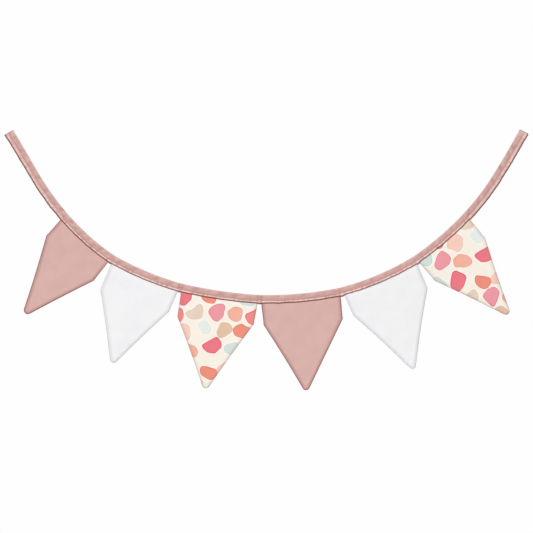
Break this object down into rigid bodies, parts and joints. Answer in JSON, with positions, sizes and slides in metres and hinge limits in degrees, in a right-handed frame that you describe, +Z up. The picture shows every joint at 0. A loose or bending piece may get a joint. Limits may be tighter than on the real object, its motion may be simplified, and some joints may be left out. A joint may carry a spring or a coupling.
{
  "type": "fabric bunting",
  "caption": "Fabric bunting: pennant flags of doubled cotton sewn into a folded cotton tape that hangs in a swag by its two free ends.",
  "frame": {"origin": "on the back of the tape's left end, in the middle of the flat stretch that is fixed to a wall", "axes": "+X to the right along the swag's span, +Y back towards the wall, +Z up"},
  "size_m": [1.1926, 0.0124, 0.5929],
  "materials": {
    "tape_cotton": "plain-weave cotton binding in dusty rose, folded, pressed and topstitched, matt",
    "rose_cotton": "plain-weave cotton in dusty rose, matt",
    "white_cotton": "plain-weave cotton in white, matt",
    "print_cotton": "plain-weave cotton in cream, printed with scattered pebbles in pinks, corals, tans and mint, matt"
  },
  "bodies": {
    "root": {"tape": "tape_cotton", "flag_1_front": "rose_cotton", "flag_1_back": "rose_cotton", "flag_2_front": "white_cotton", "flag_2_back": "white_cotton", "flag_3_front": "print_cotton", "flag_3_back": "print_cotton", "flag_4_front": "rose_cotton", "flag_4_back": "rose_cotton", "flag_5_front": "white_cotton", "flag_5_back": "white_cotton", "flag_6_front": "print_cotton", "flag_6_back": "print_cotton"}
  },
  "joints": []
}
